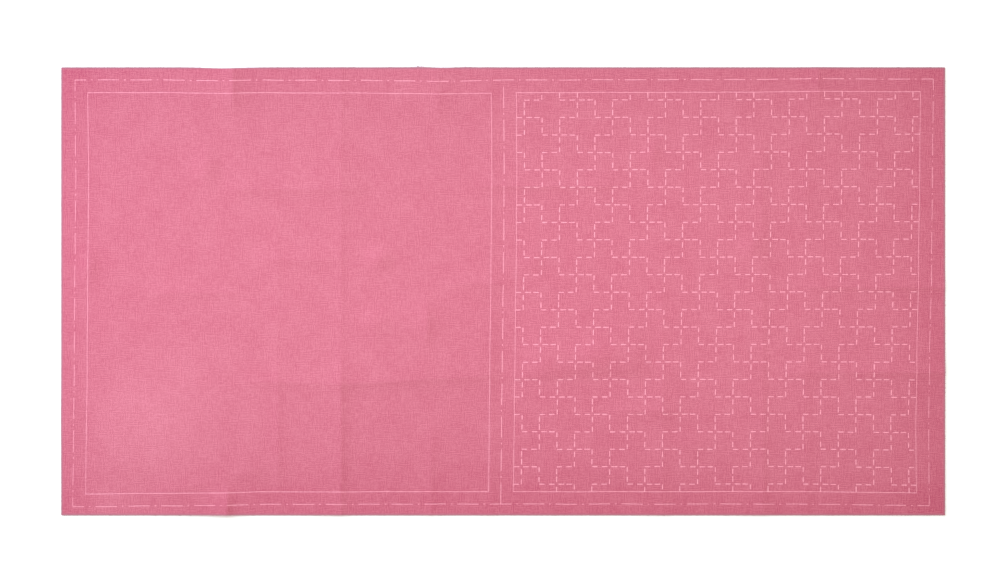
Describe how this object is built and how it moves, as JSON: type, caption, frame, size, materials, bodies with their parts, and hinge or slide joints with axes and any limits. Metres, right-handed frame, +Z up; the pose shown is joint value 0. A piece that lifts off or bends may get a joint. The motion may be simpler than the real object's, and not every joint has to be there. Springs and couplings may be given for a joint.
{
  "type": "length of sashiko fabric",
  "caption": "Flat length of pink woven cotton with raw edges, printed with a bare framed square beside one of dashed linked crosses.",
  "frame": {"origin": "centre of the cloth's outline, on the surface that it lies on", "axes": "+X along the cloth towards the panel with the crosses, +Y across it towards its top edge, +Z up from the printed face"},
  "size_m": [0.7, 0.355, 0.0034],
  "materials": {
    "cotton": "matt plain-woven pink cotton with paler pink printed lines on its upper face"
  },
  "bodies": {
    "root": {"cloth": "cotton"}
  },
  "joints": []
}
